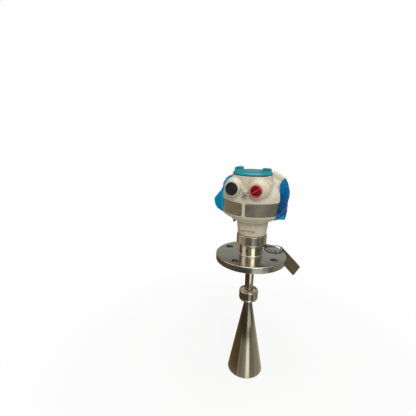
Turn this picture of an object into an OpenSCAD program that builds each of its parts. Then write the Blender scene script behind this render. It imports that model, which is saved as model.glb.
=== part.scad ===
// Radar level transmitter: a cast head on a bolted process flange, with a
// horn antenna on a waveguide tube below it. +Z is the antenna axis and -Y
// the front, where the two cable entries are. The origin is the centre of
// the flange's sealing face.

/* [Process flange] */
// Outer diameter of the flange
flange_d = 165; // [160:1:172]
// Diameter of the bolt circle
bolt_circle_d = 125; // [122:1:128]
// Diameter of each bolt hole
bolt_hole_d = 18; // [14:1:19]
// Thickness of the flange with its raised face
flange_t = 18; // [16:1:20]
// Diameter of the raised sealing face
raised_face_d = 102; // [92:1:104]

/* [Process neck] */
// Diameter of the polished neck on the flange
neck_d = 54.4; // [50:0.2:58]
// Diameter of the ring that carries the head
ring_d = 70; // [68:1:76]

/* [Head casting] */
// Diameter of the belly
belly_d = 140; // [139:1:142]
// Radius of the front shoulder
shoulder_r = 32; // [30:1:33]
// Radius of the rear compartment's top edge
rear_edge_r = 34; // [30:1:38]
// Distance between the two cable entries
entry_pitch = 53.2; // [52:0.2:56]
// Diameter of the entries' tapped bores
entry_bore_d = 20; // [18:0.5:21]
// Depth of the nameplate band
band_depth = 1.4; // [1:0.1:2]

/* [Lid] */
// Outer diameter of the screw lid
lid_d = 86.6; // [85:0.2:88.4]
// Height of the grip lugs over the lid's flange
lug_h = 11; // [8:0.5:13]

/* [Antenna] */
// Outer diameter of the waveguide tube
tube_d = 20.6; // [19:0.2:24]
// Distance from the sealing face to the horn's hub
tube_len = 77; // [60:1:90]
// Outer diameter of the hub
hub_d = 46.2; // [42:0.2:50]
// Height of the hub
hub_h = 28; // [26:1:32]
// Outer diameter of the horn's mouth
mouth_d = 88.2; // [80:0.2:94]
// Height of the horn below its hub
horn_h = 197.3; // [180:0.1:210]
// Wall of the horn
horn_t = 1.8; // [1.6:0.1:2.4]

/* [Hidden] */
$fn = 72;
// Cut-outs run this far past the face that they open
over = 1;
// Running clearance on a radius
fit = 0.06;

// Flange
rim_bottom = 3;
bolt_count = 4;
bolt_turn = 75.75;

// Process neck
neck_top = 44;
ring_bottom = 46.5;
ring_top = 68.5;
feed_top = 30;
socket_floor = 56;
spigot_r = 28;

// Head casting
head_bottom = ring_top;
neck_r0 = 33;
neck_r1 = 36.6;
underside_z = 100.4;
underside_slope = 31.5;
belly_r = belly_d / 2;
belly_edge_r = 12;
belly_bottom = 115;
edge_centre_z = belly_bottom + belly_edge_r;
shoulder_z = 160;
rear_shift = 10;
rear_r = belly_r + 1;
rear_edge_z = 178.5;
rear_front_y = 18;
rear_front_slope = 18;
wall = 6;
floor_top = 128;
neck_bore_r = 21;

// Head seal in its groove on the spigot
head_seal_t = 2.4;
head_seal_z0 = 59.6;
head_seal_z1 = 62.8;

// Flat pad on the neck's front
neck_pad_w = 36;
neck_pad_z0 = 84;
neck_pad_z1 = 106;
neck_pad_out = 0.6;

// Swivel lock screw, under the belly
lock_at = [-37.8, -18.4];
lock_face_z = 100.4;
lock_pad_r = 4.6;
lock_head_r = 2.9;
lock_head_h = 4;

// Nameplate band: a bar parts it at the front, and plates end at the sides
band_z0 = 125;
band_z1 = 153;
band_half_bar = 3.4;
band_end = 100;
band_bar_angle = asin(band_half_bar / belly_r);
plate_gap = 0.5;
plate_t = 0.8;
pin_r = 1.1;
pin_head_r = 1.9;
pin_head_h = 0.7;
pin_inset_z = 3.4;
pin_angles = [6.2, band_end - 9];

// Turn of the film's flap and the tag from the front
side_turn = 26;

// Lid seat
lid_y = -17;
lid_r = lid_d / 2;
collar_r = 44.6;
collar_top = 209.1;
collar_flare = 5;
lid_bore_r = 37;
thread_r = 39;
thread_bottom = 193.2;
seal_r = 1.5;
lid_under = 209.8;
lid_top = 216.6;
lug_w = 12;
lug_r = 6;
lug_inner_x = 22.5;
lug_outer_x = 41;
pip_x = 28.5;
pip_r = 2.6;
pip_h = 1.6;

// Cable entries
entry_z = 182.6;
entry_face = 72;
entry_face_r = 17.5;
entry_root_r = 23;
entry_lip_r = 2;
boss_start = 22;
flare_start = 53;
flare_mid = 59;
flare_end = 65;
bore_r = entry_bore_d / 2;
stem_l = 14;
stem_wall = 2.4;
cap_head_r = 13.5;
cap_head_h = 3.6;
cap_grooves = [4, 7.5];
washer_r = 12.3;
plug_head_r = 12.8;
plug_dish_r = 10.6;
plug_bar_w = 3;
plug_bar_turn = 36;

// Earth point
earth_x = 3.4;
earth_z = 171.3;
earth_face = 71;
earth_pad_r = 7;
earth_screw_r = 2.5;
earth_head_r = 5;
earth_washer_r = 6.2;
earth_ledge_w = 11;
earth_ledge_t = 2.2;

// Electronics module, with the terminals in a well of its top
module_r = 35.5;
module_top = 168;
well_z = 158;
well_w = 52;
well_l = 20;
well_front = -24;
terminal_count = 4;
terminal_pitch = 9.4;
terminal_y = lid_y - 14;
block_w = 40;
block_l = 12;
block_h = 12;
module_screw_r = 1.5;
module_screw_z = 160;
module_screw_circle_r = 29;

// Antenna
tube_r = tube_d / 2;
guide_r = 7;
hub_top = -tube_len;
hub_bottom = hub_top - hub_h;
hub_r = hub_d / 2;
tube_seat = 22;
throat_r = 8.6;
mouth_r = mouth_d / 2;
mouth_z = hub_bottom - horn_h;

// Film
film_t = 1.2;
film_gap = 6;
film_shift = 6;
film_start = 62;
film_sweep = 225;
film_bottom = 108;
film_bottom_in = 11;
film_top = 192;
flap_edge = [[-71, 180], [-74, 179], [-91, 146], [-87, 129], [-71, 117]];

// Tag, with its wire's route above the flange's top
tag_w = 68;
tag_h = 32;
tag_t = 1;
tag_hole_r = 2.6;
tag_hole_in = 3.6;
tag_corner = [82.6, 38.7, 2.4];
tag_yaw = -50;
tag_lean = -6.6;
tag_roll = 27.7;
wire_r = 0.7;
wire_turns = [
  [
    [37, 24, 0.8], [42, 11, 0.8], [52, 2, 0.8], [61, 0, 0.8], [70, 2, 0.8],
    [79, 12, 0.8], [84, 26, -1.2], [83.1, 37.2, -2.8], [83, 42.5, -2.4],
    [78.5, 46, -0.6], [72, 47, 0.8], [60, 47, 0.8], [50, 44, 0.8],
    [41, 36, 0.8]
  ],
  [
    [38, 29, 2.4], [44, 17, 2.4], [52, 11.5, 2.4], [61, 10, 2.4],
    [70, 11.5, 2.4], [78, 20, 2], [82, 29, 0.4], [83.1, 37.2, -1.2],
    [82, 42, -0.6], [78, 44, 1.2], [71, 44.5, 2.4], [60, 44, 2.4],
    [50, 41.5, 2.4], [42, 36.5, 2.4]
  ]
];

// An upright tube from z0 to z1.
module tube(r_out, r_in, z0, z1) {
  difference() {
    translate([0, 0, z0])
      cylinder(r = r_out, h = z1 - z0);
    translate([0, 0, z0 - over])
      cylinder(r = r_in, h = z1 - z0 + 2 * over);
  }
}

// An upright rod from z0 to z1.
module rod(r, z0, z1) {
  translate([0, 0, z0])
    cylinder(r = r, h = z1 - z0);
}

// Turns children made along +Z so that they point to the front.
module to_front(x, z) {
  translate([x, 0, z])
    rotate([90, 0, 0])
      children();
}

// A part of a ring about the z axis, centred on the front, for cutting.
module front_sector(r0, r1, z0, z1, start, sweep) {
  rotate([0, 0, start - 90])
    rotate_extrude(angle = sweep)
      translate([r0, z0])
        square([r1 - r0, z1 - z0]);
}

// ---- Process connection ----

module flange() {
  color("lightsteelblue")
  difference() {
    union() {
      rotate_extrude()
        polygon([
          [0, rim_bottom], [flange_d / 2 - 1, rim_bottom],
          [flange_d / 2, rim_bottom + 1], [flange_d / 2, flange_t - 1],
          [flange_d / 2 - 1, flange_t], [0, flange_t]
        ]);
      rod(raised_face_d / 2, 0, rim_bottom + over);
    }
    rod(tube_r, -over, flange_t + over);
    for (i = [0 : bolt_count - 1])
      rotate([0, 0, bolt_turn + i * 360 / bolt_count])
        translate([bolt_circle_d / 2, 0, 0])
          rod(bolt_hole_d / 2, -over, flange_t + over);
  }
}

// One turned part: polished neck with a weld bead at its foot, and the
// ring whose bore takes the head's spigot.
module process_neck() {
  neck_r = neck_d / 2;
  ring_r = ring_d / 2;
  color("silver")
  difference() {
    rotate_extrude()
      polygon([
        [0, flange_t], [neck_r + 2, flange_t], [neck_r + 1, flange_t + 1.2],
        [neck_r, flange_t + 2], [neck_r, neck_top - 1],
        [neck_r + 1, neck_top], [ring_r - 1.5, ring_bottom],
        [ring_r, ring_bottom + 1.5], [ring_r, ring_top - 1],
        [ring_r - 1, ring_top], [0, ring_top]
      ]);
    rod(tube_r, flange_t - over, feed_top + over);
    rod(20, feed_top, socket_floor + over);
    rod(spigot_r + fit, socket_floor, ring_top + over);
  }
}

// Sealed radar front end, with the pin that feeds the waveguide.
module microwave_module() {
  color("goldenrod")
  union() {
    rod(19.5, feed_top, socket_floor - 2);
    rod(1.5, 12, feed_top + over);
  }
}

// ---- Antenna ----

module waveguide_tube() {
  color("silver")
    tube(tube_r, guide_r, hub_top - tube_seat, feed_top);
}

module horn_hub() {
  color("silver")
  difference() {
    rotate_extrude()
      union() {
        polygon([
          [0, hub_bottom + 4], [hub_r, hub_bottom + 4], [hub_r, hub_top - 2],
          [hub_r - 2, hub_top], [0, hub_top]
        ]);
        translate([0, hub_bottom])
          square([hub_r - 4, hub_h / 2]);
        translate([hub_r - 4, hub_bottom + 4])
          circle(r = 4);
      }
    rod(tube_r, hub_top - tube_seat, hub_top + over);
    rod(guide_r, hub_bottom - over, hub_top);
  }
}

// Spun cone with a small turned-in bead at the mouth.
module horn() {
  color("gainsboro")
  rotate_extrude()
    polygon([
      [throat_r, hub_bottom], [mouth_r - 0.6, mouth_z + 2.4],
      [mouth_r, mouth_z + 1.8], [mouth_r, mouth_z],
      [mouth_r - horn_t, mouth_z],
      [mouth_r - horn_t - 0.6, mouth_z + 2.4],
      [guide_r, hub_bottom]
    ]);
}

// Dielectric plug that fills the guide's end and points into the horn.
module emitter() {
  color("white")
  rotate_extrude()
    polygon([
      [0, hub_bottom + 24], [guide_r - 1, hub_bottom + 24],
      [guide_r, hub_bottom + 22], [guide_r, hub_bottom],
      [0.8, hub_bottom - 26], [0, hub_bottom - 26]
    ]);
}

// ---- Head ----

// Half outline of the front pot, turned about the z axis.
module pot_outline() {
  polygon([
    [0, head_bottom], [neck_r0 - 1.5, head_bottom],
    [neck_r0, head_bottom + 1.5], [neck_r1, underside_z],
    [belly_r - belly_edge_r * (1 - sin(underside_slope)),
     edge_centre_z - belly_edge_r * cos(underside_slope)],
    [belly_r - belly_edge_r, edge_centre_z], [0, edge_centre_z]
  ]);
  translate([belly_r - belly_edge_r, edge_centre_z])
    circle(r = belly_edge_r);
  translate([0, edge_centre_z])
    square([belly_r, shoulder_z - edge_centre_z]);
  translate([belly_r - shoulder_r, shoulder_z])
    circle(r = shoulder_r);
  translate([0, shoulder_z])
    square([belly_r - shoulder_r, shoulder_r]);
}

// Half outline of the higher rear compartment.
module rear_outline(inset) {
  r = rear_edge_r - inset;
  translate([0, edge_centre_z])
    square([rear_r - inset, rear_edge_z - edge_centre_z]);
  intersection() {
    translate([rear_r - rear_edge_r, rear_edge_z])
      circle(r = r);
    translate([0, rear_edge_z])
      square([rear_r - inset, r]);
  }
  translate([0, rear_edge_z])
    square([rear_r - rear_edge_r, r]);
}

// The rear compartment ends at the front in a slanted wall, under the lid.
module rear_compartment() {
  intersection() {
    translate([0, rear_shift, 0])
      rotate_extrude()
        rear_outline(0);
    translate([0, rear_front_y, shoulder_z])
      rotate([-rear_front_slope, 0, 0])
        translate([-1.5 * belly_r, 0, -belly_r])
          cube([3 * belly_r, 2 * belly_r, 2 * belly_r]);
  }
}

// One cable entry: a flared boss with a rounded face.
module entry_boss(x) {
  to_front(x, entry_z)
    rotate_extrude()
      union() {
        polygon([
          [0, boss_start], [entry_root_r, boss_start],
          [entry_root_r, flare_start], [entry_root_r - 1.5, flare_mid],
          [entry_face_r + 0.6, flare_end],
          [entry_face_r, entry_face - entry_lip_r],
          [entry_face_r - entry_lip_r, entry_face], [0, entry_face]
        ]);
        translate([entry_face_r - entry_lip_r, entry_face - entry_lip_r])
          circle(r = entry_lip_r);
      }
}

// Raised pad for the earth screw, with a small ledge over it.
module earth_pad() {
  to_front(earth_x, earth_z)
    cylinder(r = earth_pad_r, h = earth_face);
  translate([earth_x - earth_ledge_w / 2, -earth_face - 1,
             earth_z + earth_washer_r + 0.3])
    cube([earth_ledge_w, 12, earth_ledge_t]);
}

module head_outside() {
  rotate_extrude()
    pot_outline();
  rear_compartment();
  translate([0, lid_y, shoulder_z])
    cylinder(r = collar_r, h = collar_top - shoulder_z);
  // flare where the collar leaves the shoulder
  translate([0, lid_y, shoulder_z + shoulder_r])
    cylinder(r1 = collar_r + collar_flare, r2 = collar_r, h = collar_flare);
  for (side = [-1, 1])
    entry_boss(side * entry_pitch / 2);
  earth_pad();
  // flat pad on the neck
  translate([-neck_pad_w / 2, -neck_r1 - neck_pad_out, neck_pad_z0])
    cube([neck_pad_w, neck_r1 / 2, neck_pad_z1 - neck_pad_z0]);
  // spigot
  rod(spigot_r, socket_floor + 1, head_bottom + over);
  // pad of the swivel lock screw
  translate(lock_at)
    rod(lock_pad_r, lock_face_z, belly_bottom);
}

// Everything hollow in the casting but the bores.
module head_inside() {
  // neck
  rod(neck_bore_r, socket_floor, floor_top - wall / 2);
  // pot
  intersection() {
    rotate_extrude() {
      translate([0, floor_top])
        square([belly_r - wall, shoulder_z - floor_top]);
      translate([belly_r - shoulder_r, shoulder_z])
        circle(r = shoulder_r - wall);
      translate([0, shoulder_z])
        square([belly_r - shoulder_r, shoulder_r - wall]);
    }
    // the front wall stays thick round the entries
    translate([-belly_r, lid_y - 24, floor_top])
      cube([2 * belly_r, 2 * belly_r, belly_r]);
  }
}

module head_casting() {
  color("wheat")
  difference() {
    head_outside();
    head_inside();
    // room round the lid
    translate([0, lid_y, collar_top])
      cylinder(r = lid_r + 2, h = 20);
    // lid bore, its thread and the seat of its seal
    translate([0, lid_y, 0]) {
      rod(lid_bore_r, floor_top, collar_top + over);
      rod(thread_r, thread_bottom, collar_top + over);
      rod(thread_r + 2 * seal_r, lid_under - 2 * seal_r, collar_top + over);
    }
    // cable entries
    for (side = [-1, 1])
      to_front(side * entry_pitch / 2, entry_z)
        rod(bore_r, 24, entry_face + over);
    // earth thread
    to_front(earth_x, earth_z)
      rod(earth_screw_r, earth_face - 9, earth_face + over);
    // swivel lock thread
    translate(lock_at)
      rod(lock_head_r / 2, lock_face_z - over, lock_face_z + 8);
    // nameplate band, one recess on each side of the front bar
    for (side = [0, 1])
      mirror([side, 0, 0])
        front_sector(belly_r - band_depth, belly_r + 20, band_z0, band_z1,
          band_bar_angle, band_end - band_bar_angle);
    // groove of the head seal
    tube(spigot_r + over, spigot_r - head_seal_t, head_seal_z0,
      head_seal_z1);
  }
}

module head_seal() {
  color("black")
    tube(spigot_r, spigot_r - head_seal_t, head_seal_z0, head_seal_z1);
}

// Cap screw with a hexagon socket, its head down.
module swivel_lock_screw() {
  head_z = lock_face_z - lock_head_h;
  color("dimgray")
  translate(lock_at)
    difference() {
      union() {
        rod(lock_head_r, head_z, lock_face_z);
        rod(lock_head_r / 2, lock_face_z - over, lock_face_z + 7);
      }
      translate([0, 0, head_z - over])
        cylinder(r = 1.5, h = over + lock_head_h / 2, $fn = 6);
    }
}

// Puts children at the pins of the right plate, each facing outwards.
module at_pins() {
  for (a = pin_angles)
    for (z = [band_z0 + pin_inset_z, band_z1 - pin_inset_z])
      rotate([0, 0, a])
        to_front(0, z)
          children();
}

// A plate bent round the belly, from the front bar to one side.
module nameplate() {
  a0 = asin((band_half_bar + plate_gap) / belly_r);
  difference() {
    front_sector(belly_r - band_depth, belly_r - band_depth + plate_t,
      band_z0 + plate_gap, band_z1 - plate_gap, a0, band_end - 2 * a0);
    at_pins()
      rod(pin_r, belly_r - 6, belly_r + 2);
  }
}

module nameplate_left() {
  color("gray")
    mirror([1, 0, 0])
      nameplate();
}

module nameplate_right() {
  color("slategray")
    nameplate();
}

// Eight drive pins whose heads hold the two plates.
module nameplate_pins() {
  seat_r = belly_r - band_depth;
  color("silver")
  for (side = [0, 1])
    mirror([side, 0, 0])
      at_pins()
        union() {
          rod(pin_r, seat_r, seat_r + 1);
          rod(pin_head_r, seat_r + plate_t, seat_r + plate_t + pin_head_h);
        }
}

module earth_washer() {
  color("silver")
  to_front(earth_x, earth_z)
    tube(earth_washer_r, earth_screw_r, earth_face, earth_face + 1);
}

// Cheese-head screw with a cross slot.
module earth_screw() {
  color("white")
  to_front(earth_x, earth_z)
    difference() {
      union() {
        rod(earth_screw_r, earth_face - 8, earth_face + 2);
        rod(earth_head_r, earth_face + 1, earth_face + 4.4);
      }
      for (turn = [20, 110])
        rotate([0, 0, turn])
          translate([-3.6, -0.5, earth_face + 3])
            cube([7.2, 1, 4]);
    }
}

// ---- Inside the lid ----

// Puts children at the module's three screws.
module at_module_screws() {
  for (a = [30, 150, 270])
    rotate([0, 0, a])
      translate([module_screw_circle_r, 0, 0])
        children();
}

// Potted module on the casting's floor.
module electronics_module() {
  color("darkslategray")
  translate([0, lid_y, 0])
    difference() {
      rotate_extrude()
        polygon([
          [0, floor_top], [module_r, floor_top], [module_r, module_top - 2],
          [module_r - 1.5, module_top], [0, module_top]
        ]);
      // well for the terminals
      translate([-well_w / 2, well_front, well_z])
        cube([well_w, well_l, 20]);
      at_module_screws()
        rod(module_screw_r, module_screw_z, module_top + over);
    }
}

module module_screws() {
  color("silver")
  translate([0, lid_y, 0])
    at_module_screws()
      difference() {
        union() {
          rod(module_screw_r, module_screw_z, module_top + over);
          rod(2.9, module_top, module_top + 2.2);
        }
        translate([-2.2, -0.4, module_top + 1.2])
          cube([4.4, 0.8, 2]);
      }
}

// Puts children at each terminal, at the well's floor.
module at_terminals() {
  for (i = [0 : terminal_count - 1])
    translate([(i - (terminal_count - 1) / 2) * terminal_pitch, 0, 0])
      children();
}

// Terminal strip with a wire port in front of each screw.
module terminal_block() {
  color("seagreen")
  translate([0, terminal_y, well_z])
    difference() {
      translate([-block_w / 2, -block_l / 2, 0])
        cube([block_w, block_l, block_h]);
      at_terminals()
        union() {
          rod(2.6, 4, block_h + 2);
          translate([-2, -7, 3])
            cube([4, 6, 5]);
        }
    }
}

module terminal_screws() {
  color("gainsboro")
  translate([0, terminal_y, well_z])
    at_terminals()
      difference() {
        rod(2.5, 4, 10.5);
        translate([-3, -0.4, 9.7])
          cube([6, 0.8, 2]);
      }
}

// ---- Lid ----

module lid_seal() {
  color("black")
  translate([0, lid_y, lid_under - seal_r])
    rotate_extrude()
      translate([thread_r - fit + seal_r, 0])
        circle(r = seal_r);
}

// One grip lug: an upright block with a rounded outer corner.
module lid_lug() {
  foot_z = lid_under + 3;
  rotate([90, 0, 0])
    translate([0, 0, -lug_w / 2])
      linear_extrude(height = lug_w)
        union() {
          translate([lug_inner_x, foot_z])
            square([lug_outer_x - lug_r - lug_inner_x, lug_h]);
          translate([lug_inner_x, foot_z])
            square([lug_outer_x - lug_inner_x, lug_h - lug_r]);
          translate([lug_outer_x - lug_r, foot_z + lug_h - lug_r])
            circle(r = lug_r);
        }
}

module screw_lid() {
  color("teal")
  translate([0, lid_y, 0])
    difference() {
      union() {
        rotate_extrude()
          polygon([
            [0, thread_bottom + 2], [thread_r - 1.2, thread_bottom + 2],
            [thread_r - fit, thread_bottom + 3.2],
            [thread_r - fit, lid_under], [lid_r, lid_under],
            [lid_r, lid_under + 3], [lid_r - 3.4, lid_top - 1.2],
            [21.5, lid_top], [20, lid_top + 0.8], [0, lid_top + 0.8]
          ]);
        for (turn = [0, 180])
          rotate([0, 0, turn])
            lid_lug();
        // pip on one lug
        translate([-pip_x, 0, 0])
          rod(pip_r, lid_top, lid_under + 3 + lug_h + pip_h);
      }
      rod(lid_bore_r - 2, thread_bottom, lid_under + 1.6);
    }
}

// ---- Entry plugs ----

// Push-in cap with ring grooves on its face.
module entry_cap_left() {
  color("black")
  to_front(-entry_pitch / 2, entry_z)
    difference() {
      union() {
        rod(cap_head_r, entry_face, entry_face + cap_head_h);
        rod(bore_r - fit, entry_face - stem_l, entry_face + over);
      }
      rod(bore_r - stem_wall, entry_face - stem_l - over, entry_face);
      for (r = cap_grooves)
        tube(r + 1, r, entry_face + 3, entry_face + 5);
    }
}

module entry_washer_right() {
  color("firebrick")
  to_front(entry_pitch / 2, entry_z)
    tube(washer_r, bore_r - fit, entry_face, entry_face + 1);
}

// Screwed plug: dished head with a grip bar across it.
module entry_plug_right() {
  color("crimson")
  to_front(entry_pitch / 2, entry_z)
    difference() {
      union() {
        rod(plug_head_r, entry_face + 1, entry_face + 5);
        rod(bore_r - fit, entry_face - stem_l, entry_face + 2);
      }
      rod(bore_r - stem_wall, entry_face - stem_l - over, entry_face);
      difference() {
        rod(plug_dish_r, entry_face + 2, entry_face + 8);
        rotate([0, 0, plug_bar_turn])
          translate([-plug_head_r, -plug_bar_w / 2, entry_face])
            cube([2 * plug_head_r, plug_bar_w, 10]);
      }
    }
}

// ---- Film ----

// Protective film: a loose wrap round the rear of the head, and a stiff
// flap of its free end that stands off on the left.
module protective_film() {
  color("dodgerblue", 0.6)
  union() {
    translate([0, film_shift, 0])
      rotate([0, 0, film_start - 90])
        rotate_extrude(angle = film_sweep)
          film_section();
    film_flap();
  }
}

// Section of the wrap: it keeps its gap to the casting and closes in a
// little below the belly.
module film_section() {
  r = rear_r + film_gap;
  difference() {
    rear_outline(-film_gap - film_t);
    rear_outline(-film_gap);
    translate([0, film_top])
      square([belly_d, 50]);
  }
  polygon([
    [r - film_bottom_in, film_bottom],
    [r - film_bottom_in + film_t, film_bottom],
    [r + film_t, edge_centre_z], [r, edge_centre_z]
  ]);
}

// The flap is a flat sheet that meets the left end of the wrap.
module film_flap() {
  rotate([0, 0, side_turn])
    translate([0, 21, 0])
      rotate([90, 0, 0])
        linear_extrude(height = film_t)
          polygon(flap_edge);
}

// ---- Tag ----

// The tag hangs from its corner hole, just outside the flange's rim.
module tag_plate() {
  color("dimgray")
  rotate([0, 0, side_turn])
    translate([tag_corner[0], tag_corner[1], flange_t + tag_corner[2]])
      rotate([0, 0, tag_yaw])
        rotate([tag_lean, 0, 0])
          rotate([0, tag_roll, 0])
            rotate([90, 0, 0])
              difference() {
                translate([0, -tag_h, 0])
                  cube([tag_w, tag_h, tag_t]);
                translate([tag_hole_in, -tag_hole_in, -over])
                  cylinder(r = tag_hole_r, h = tag_t + 2 * over);
              }
}

// Point on a closed smooth curve through the points p, at t from 0 to 1.
function curve_at(p, t) =
  let (n = len(p), i = floor(t * n), f = t * n - i)
  let (a = p[(i + n - 1) % n], b = p[i % n])
  let (c = p[(i + 1) % n], d = p[(i + 2) % n])
  0.5 * (2 * b + f * (c - a) + f * f * (2 * a - 5 * b + 4 * c - d)
    + f * f * f * (3 * b - a - 3 * c + d));

// Closed round wire along the points p.
module wire_ring(p, r, steps, sides) {
  at = [for (i = [0 : steps - 1]) curve_at(p, i / steps)];
  rings = [
    for (i = [0 : steps - 1])
      let (d = at[(i + 1) % steps] - at[(i + steps - 1) % steps])
      let (side = cross(d, [0, 0, 1]) / norm(cross(d, [0, 0, 1])))
      let (up = cross(side, d) / norm(d))
      for (k = [0 : sides - 1])
        at[i] + r * (cos(360 * k / sides) * side + sin(360 * k / sides) * up)
  ];
  faces = [
    for (i = [0 : steps - 1])
      for (k = [0 : sides - 1])
        let (j = (i + 1) % steps, m = (k + 1) % sides)
        [i * sides + k, i * sides + m, j * sides + m, j * sides + k]
  ];
  polyhedron(rings, faces);
}

// Two turns of wire that lie on the flange and pass through the tag's hole.
module tag_loop() {
  color("silver")
  rotate([0, 0, side_turn])
    translate([0, 0, flange_t])
      for (turn = wire_turns)
        wire_ring(turn, wire_r, 60, 8);
}

// Crimped sleeve across both turns.
module tag_ferrule() {
  color("silver")
  rotate([0, 0, side_turn])
    translate([61, 0, flange_t])
      difference() {
        translate([-1.5, -2.6, 0])
          cube([3, 16, 3.6]);
        translate([0, 0.3, 0.9])
          rotate([0, 90, 0])
            cylinder(r = 1, h = 10, center = true);
        translate([0, 10.2, 2.4])
          rotate([0, 90, 0])
            cylinder(r = 1, h = 10, center = true);
      }
}

flange();
process_neck();
microwave_module();
waveguide_tube();
horn_hub();
horn();
emitter();
head_casting();
head_seal();
swivel_lock_screw();
nameplate_left();
nameplate_right();
nameplate_pins();
earth_screw();
earth_washer();
electronics_module();
module_screws();
terminal_block();
terminal_screws();
lid_seal();
screw_lid();
entry_cap_left();
entry_washer_right();
entry_plug_right();
protective_film();
tag_plate();
tag_loop();
tag_ferrule();
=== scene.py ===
# %% [markdown]
# # Radar level transmitter
# The instrument measures the level in a tank with a radar beam. From the floor up it is a horn
# antenna, a waveguide tube, a bolted flange, a polished neck and a cast head with its electronics.
# The solids come from the CAD frame. This file dresses them: cast and moulded pieces are made
# again with their soft edges, and every surface gets a finish that is worked out by nodes.

# %% Load the frame
import math
import bmesh
import bpy
import numpy as np
from mathutils import Matrix, Vector


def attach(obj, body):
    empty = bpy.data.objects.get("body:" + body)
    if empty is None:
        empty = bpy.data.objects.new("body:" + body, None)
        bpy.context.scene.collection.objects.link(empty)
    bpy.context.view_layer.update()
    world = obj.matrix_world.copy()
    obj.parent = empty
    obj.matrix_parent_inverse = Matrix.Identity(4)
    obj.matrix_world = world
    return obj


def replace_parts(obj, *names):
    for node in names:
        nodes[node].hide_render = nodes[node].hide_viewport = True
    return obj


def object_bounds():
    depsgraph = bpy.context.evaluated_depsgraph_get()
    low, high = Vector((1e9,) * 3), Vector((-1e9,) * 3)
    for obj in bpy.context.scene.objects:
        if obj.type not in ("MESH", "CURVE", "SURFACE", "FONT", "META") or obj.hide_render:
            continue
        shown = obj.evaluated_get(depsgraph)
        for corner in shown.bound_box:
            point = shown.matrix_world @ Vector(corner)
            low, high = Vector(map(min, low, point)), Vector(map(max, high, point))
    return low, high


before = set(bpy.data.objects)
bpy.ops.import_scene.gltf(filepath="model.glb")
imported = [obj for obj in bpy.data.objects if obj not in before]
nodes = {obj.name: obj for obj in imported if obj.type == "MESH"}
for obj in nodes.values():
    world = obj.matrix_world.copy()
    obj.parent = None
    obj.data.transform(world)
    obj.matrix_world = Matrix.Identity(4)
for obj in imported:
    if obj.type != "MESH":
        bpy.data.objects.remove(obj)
cad_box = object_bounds()

# %% [markdown]
# ## Lengths and meshes
# Shapes are worked out in millimetres, as on a workshop drawing, and one helper turns them into
# Blender meshes in metres. A mesh is a grid of points that a formula gives as whole arrays, with a
# four-sided face between each four neighbours.

# %% Mesh helpers
MM = 0.001


def put(name, data):
    """A new object in the scene from a mesh, a light or a camera."""
    piece = bpy.data.objects.new(name, data)
    bpy.context.scene.collection.objects.link(piece)
    return piece


def build_mesh(name, points, quads, normals=None):
    """A mesh object from points in millimetres and four-cornered faces, shaded smooth."""
    mesh = bpy.data.meshes.new(name)
    mesh.vertices.add(len(points))
    mesh.vertices.foreach_set("co", (np.asarray(points) * MM).astype(np.float32).ravel())
    mesh.loops.add(quads.size)
    mesh.loops.foreach_set("vertex_index", quads.astype(np.int32).ravel())
    mesh.polygons.add(len(quads))
    mesh.polygons.foreach_set("loop_start", np.arange(0, quads.size, 4, dtype=np.int32))
    mesh.polygons.foreach_set("use_smooth", np.ones(len(quads), bool))
    mesh.update(calc_edges=True)
    mesh.validate()
    if normals is not None:
        mesh.normals_split_custom_set_from_vertices(normals.astype(float))
    return put(name, mesh)


def mark_points(piece, name, values):
    """Keeps one number for each point of the mesh under a name, for its finish to read."""
    layer = piece.data.attributes.new(name, "FLOAT", "POINT")
    layer.data.foreach_set("value", values.astype(np.float32))


def grid_quads(rows, columns, close_rows=False, close_columns=False):
    """Faces of a grid: each joins a point, the next in its row, and the two below them."""
    index = np.arange(rows * columns).reshape(rows, columns)
    if close_rows:
        index = np.vstack([index, index[:1]])
    if close_columns:
        index = np.hstack([index, index[:, :1]])
    return np.stack([index[:-1, :-1], index[:-1, 1:], index[1:, 1:], index[1:, :-1]], -1).reshape(-1, 4)


def close_up(piece):
    """Merges the points that meet at poles and seams, and turns all faces outwards."""
    work = bmesh.new()
    work.from_mesh(piece.data)
    bmesh.ops.remove_doubles(work, verts=work.verts, dist=2e-6)
    bmesh.ops.recalc_face_normals(work, faces=work.faces)
    work.to_mesh(piece.data)
    work.free()
    return piece


def join(name, pieces):
    """One object from several, keeping their faces as they are."""
    work = bmesh.new()
    for piece in pieces:
        work.from_mesh(piece.data)
        bpy.data.objects.remove(piece)
    mesh = bpy.data.meshes.new(name)
    work.to_mesh(mesh)
    work.free()
    return put(name, mesh)


def even_shading(piece):
    """Large faces lead the shading, so that flats stay flat beside their rounded edges."""
    modifier = piece.modifiers.new("even shading", "WEIGHTED_NORMAL")
    modifier.keep_sharp = True
    return piece


# %% [markdown]
# ## Turned parts
# Most of the metal is turned on a lathe: a profile of radius against height goes round an axis. A
# lathe leaves no razor edge, so each corner of the profile is rounded off first.

# %% Lathe
def rounded(points):
    """A profile from (radius, height, rounding): each corner becomes a parabola that leaves
    one side and joins the other at the rounding's distance from the corner."""
    out = []
    count = len(points)
    for i, (r, z, rounding) in enumerate(points):
        here = np.array([r, z], float)
        if rounding <= 0 or i in (0, count - 1):
            out.append(here)
            continue
        before = np.array(points[i - 1][:2], float)
        after = np.array(points[i + 1][:2], float)
        start = here + (before - here) * min(0.48, rounding / np.linalg.norm(before - here))
        end = here + (after - here) * min(0.48, rounding / np.linalg.norm(after - here))
        t = np.linspace(0, 1, 6)[:, None]
        out.extend((1 - t) ** 2 * start + 2 * t * (1 - t) * here + t ** 2 * end)
    return np.array(out)


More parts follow.
